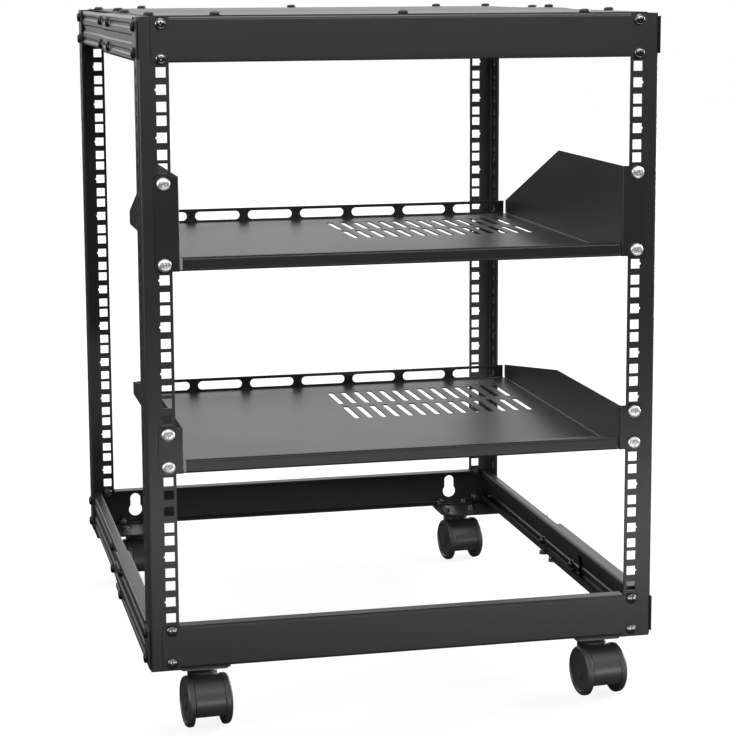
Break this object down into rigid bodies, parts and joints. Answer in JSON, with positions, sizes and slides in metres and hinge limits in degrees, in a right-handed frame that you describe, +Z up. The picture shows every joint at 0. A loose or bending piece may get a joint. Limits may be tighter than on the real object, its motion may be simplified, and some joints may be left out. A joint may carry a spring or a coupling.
{
  "type": "four post open frame rack",
  "caption": "Open frame equipment rack on swivel casters: perforated corner posts, telescoping side rails, closed top and two cantilever shelves with slotted lips.",
  "frame": {"origin": "on the floor, under the middle of the rack's frame", "axes": "+X to the right seen from the front, +Y from the front to the back, +Z up"},
  "size_m": [0.5102, 0.6007, 0.6857],
  "materials": {
    "frame_coat": "fine black powder coat",
    "rail_coat": "satin black powder coat",
    "top_coat": "satin black powder coat",
    "shelf_coat": "satin black powder coat",
    "caster_steel": "black coated steel",
    "caster_hood": "semi-gloss black plastic",
    "caster_wheel": "black nylon"
  },
  "bodies": {
    "rack": {"post_front_left": "frame_coat", "post_front_right": "frame_coat", "post_rear_left": "frame_coat", "post_rear_right": "frame_coat", "beam_front_top": "frame_coat", "beam_front_bottom": "frame_coat", "beam_rear_top": "frame_coat", "beam_rear_bottom": "frame_coat", "rail_left_top_front": "rail_coat", "rail_left_top_rear": "rail_coat", "rail_left_bottom_front": "rail_coat", "rail_left_bottom_rear": "rail_coat", "rail_right_top_front": "rail_coat", "rail_right_top_rear": "rail_coat", "rail_right_bottom_front": "rail_coat", "rail_right_bottom_rear": "rail_coat", "top_panel_front": "top_coat", "top_panel_rear": "top_coat", "shelf_upper": "shelf_coat", "shelf_lower": "shelf_coat", "corner_plate_front_left": "frame_coat", "corner_plate_front_right": "frame_coat", "corner_plate_rear_left": "frame_coat", "corner_plate_rear_right": "frame_coat", "caster_mount_front_left": "caster_steel", "caster_mount_front_right": "caster_steel", "caster_mount_rear_left": "caster_steel", "caster_mount_rear_right": "caster_steel"},
    "hood_front_left": {"caster_hood_front_left": "caster_hood"},
    "wheels_front_left": {"caster_wheels_front_left": "caster_wheel"},
    "hood_front_right": {"caster_hood_front_right": "caster_hood"},
    "wheels_front_right": {"caster_wheels_front_right": "caster_wheel"},
    "hood_rear_left": {"caster_hood_rear_left": "caster_hood"},
    "wheels_rear_left": {"caster_wheels_rear_left": "caster_wheel"},
    "hood_rear_right": {"caster_hood_rear_right": "caster_hood"},
    "wheels_rear_right": {"caster_wheels_rear_right": "caster_wheel"}
  },
  "joints": [
    {"name": "swivel_front_left", "type": "hinge", "parent": "rack", "child": "hood_front_left", "pos_m": [-0.20005, -0.265, 0.041], "axis": [0, 0, 1], "continuous": true},
    {"name": "roll_front_left", "type": "hinge", "parent": "hood_front_left", "child": "wheels_front_left", "pos_m": [-0.19886, -0.28196, 0.025], "axis": [0.9976, 0.0698, 0], "continuous": true},
    {"name": "swivel_front_right", "type": "hinge", "parent": "rack", "child": "hood_front_right", "pos_m": [0.20005, -0.265, 0.041], "axis": [0, 0, 1], "continuous": true},
    {"name": "roll_front_right", "type": "hinge", "parent": "hood_front_right", "child": "wheels_front_right", "pos_m": [0.20183, -0.28191, 0.025], "axis": [0.9945, 0.1045, 0], "continuous": true},
    {"name": "swivel_rear_left", "type": "hinge", "parent": "rack", "child": "hood_rear_left", "pos_m": [-0.20005, 0.265, 0.041], "axis": [0, 0, 1], "continuous": true},
    {"name": "roll_rear_left", "type": "hinge", "parent": "hood_rear_left", "child": "wheels_rear_left", "pos_m": [-0.19857, 0.24807, 0.025], "axis": [0.9962, 0.0872, 0], "continuous": true},
    {"name": "swivel_rear_right", "type": "hinge", "parent": "rack", "child": "hood_rear_right", "pos_m": [0.20005, 0.265, 0.041], "axis": [0, 0, 1], "continuous": true},
    {"name": "roll_rear_right", "type": "hinge", "parent": "hood_rear_right", "child": "wheels_rear_right", "pos_m": [0.20183, 0.24809, 0.025], "axis": [0.9945, 0.1045, 0], "continuous": true}
  ]
}
